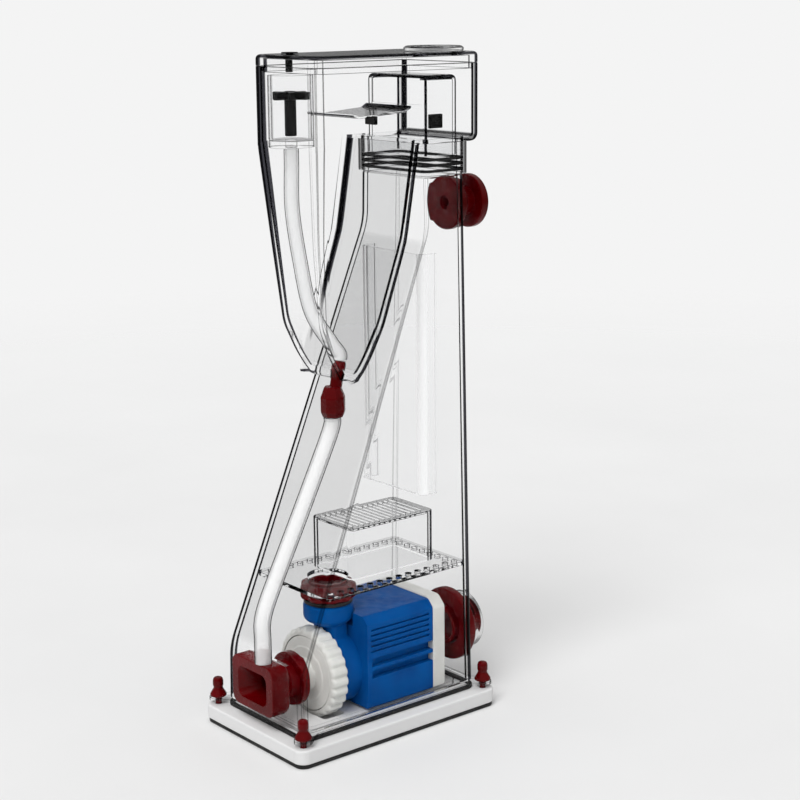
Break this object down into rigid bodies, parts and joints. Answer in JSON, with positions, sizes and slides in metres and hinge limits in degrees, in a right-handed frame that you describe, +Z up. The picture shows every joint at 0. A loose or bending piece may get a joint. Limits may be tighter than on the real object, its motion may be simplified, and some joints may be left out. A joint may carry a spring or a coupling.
{
  "type": "protein skimmer",
  "caption": "Slim aquarium protein skimmer: tapered clear body on a white base, needle-wheel pump, hopper-shaped collection cup with lid, air line and level control.",
  "frame": {"origin": "centre of the rubber mat on the underside", "axes": "+Z up; -X towards the pump inlet, +X towards the water outlet; Y across the body"},
  "size_m": [0.2245, 0.136, 0.549],
  "materials": {
    "clear_acrylic": "polished clear acrylic sheet",
    "clear_tube": "clear bent tube",
    "red_plastic": "glossy dark red moulding",
    "blue_plastic": "satin blue moulding",
    "ivory_plastic": "satin ivory moulding",
    "white_plastic": "satin white sheet with eased edges",
    "black_plastic": "satin black",
    "rubber_black": "matt rubber",
    "ceramic_bush": "ground ceramic",
    "magnet": "sleeved ferrite magnet",
    "shaft_steel": "ground shaft"
  },
  "bodies": {
    "base": {"body_flange": "clear_acrylic", "side_panel_near": "clear_acrylic", "side_panel_far": "clear_acrylic", "front_panel": "clear_acrylic", "back_panel": "clear_acrylic", "neck_collar": "clear_acrylic", "riser_baffle": "clear_acrylic", "bubble_plate": "clear_acrylic", "diffuser_box": "clear_acrylic", "foam_riser": "clear_acrylic", "outlet_nut": "clear_acrylic", "lower_air_tube": "clear_tube", "outlet_nozzle": "red_plastic", "inlet_bell": "red_plastic", "inlet_flange": "red_plastic", "level_flange": "red_plastic", "outlet_pipe": "red_plastic", "outlet_flange": "red_plastic", "motor_housing": "blue_plastic", "pump_volute": "blue_plastic", "motor_end_cap": "ivory_plastic", "volute_cover": "ivory_plastic", "base_plate": "white_plastic", "cable_gland": "black_plastic", "riser_clip_far": "black_plastic", "riser_clip_near": "black_plastic", "foot_mat": "rubber_black", "base_gasket": "rubber_black", "neck_o_ring_1": "rubber_black", "neck_o_ring_2": "rubber_black", "neck_o_ring_3": "rubber_black", "motor_pads": "rubber_black", "volute_seal": "rubber_black", "union_seal": "rubber_black", "front_bush": "ceramic_bush", "rear_bush": "ceramic_bush"},
    "thumb_screw_1": {"thumb_screw_1": "red_plastic"},
    "thumb_screw_2": {"thumb_screw_2": "red_plastic"},
    "thumb_screw_3": {"thumb_screw_3": "red_plastic"},
    "thumb_screw_4": {"thumb_screw_4": "red_plastic"},
    "rotor": {"impeller": "ivory_plastic", "rotor_magnet": "magnet", "rotor_shaft": "shaft_steel"},
    "clamp_ring": {"volute_ring": "ivory_plastic"},
    "union": {"union_nut": "red_plastic"},
    "level_control": {"level_knob": "red_plastic"},
    "cup": {"collection_vessel": "clear_acrylic", "cup_floor": "clear_acrylic", "cup_wall": "clear_acrylic", "cup_socket": "clear_acrylic", "foam_ramp": "clear_acrylic", "silencer_chamber": "clear_acrylic", "silencer_base": "clear_acrylic", "silencer_core": "black_plastic", "upper_air_tube": "clear_tube", "air_elbow": "red_plastic"},
    "lid": {"lid": "clear_acrylic"},
    "cap": {"lid_cap": "clear_acrylic"},
    "air_valve": {"air_valve_knob": "black_plastic"}
  },
  "joints": [
    {"name": "thumb_screw_1_turn", "type": "hinge", "parent": "base", "child": "thumb_screw_1", "pos_m": [-0.0945, -0.059, 0.022], "axis": [0, 0, 1], "range_deg": [0, 720]},
    {"name": "thumb_screw_2_turn", "type": "hinge", "parent": "base", "child": "thumb_screw_2", "pos_m": [0.0945, -0.059, 0.022], "axis": [0, 0, 1], "range_deg": [0, 720]},
    {"name": "thumb_screw_3_turn", "type": "hinge", "parent": "base", "child": "thumb_screw_3", "pos_m": [0.0945, 0.059, 0.022], "axis": [0, 0, 1], "range_deg": [0, 720]},
    {"name": "thumb_screw_4_turn", "type": "hinge", "parent": "base", "child": "thumb_screw_4", "pos_m": [-0.0945, 0.059, 0.022], "axis": [0, 0, 1], "range_deg": [0, 720]},
    {"name": "rotor_spin", "type": "hinge", "parent": "base", "child": "rotor", "pos_m": [0, 0, 0.047], "axis": [1, 0, 0], "continuous": true},
    {"name": "clamp_ring_turn", "type": "hinge", "parent": "base", "child": "clamp_ring", "pos_m": [-0.039, 0, 0.047], "axis": [1, 0, 0], "range_deg": [0, 30]},
    {"name": "union_nut_turn", "type": "hinge", "parent": "base", "child": "union", "pos_m": [-0.023, 0, 0.1135], "axis": [0, 0, 1], "range_deg": [0, 540]},
    {"name": "level_turn", "type": "hinge", "parent": "base", "child": "level_control", "pos_m": [0.117, -0.015, 0.423], "axis": [1, 0, 0], "range_deg": [0, 180]},
    {"name": "cup_lift", "type": "slide", "parent": "base", "child": "cup", "axis": [0, 0, 1], "range_m": [0, 0.08]},
    {"name": "lid_lift", "type": "slide", "parent": "cup", "child": "lid", "axis": [0, 0, 1], "range_m": [0, 0.05]},
    {"name": "lid_cap_turn", "type": "hinge", "parent": "lid", "child": "cap", "pos_m": [0.078, -0.018, 0.545], "axis": [0, 0, 1], "range_deg": [0, 90]},
    {"name": "air_valve_turn", "type": "hinge", "parent": "lid", "child": "air_valve", "pos_m": [-0.034, 0.022, 0.547], "axis": [0, 0, 1], "range_deg": [0, 270]}
  ]
}
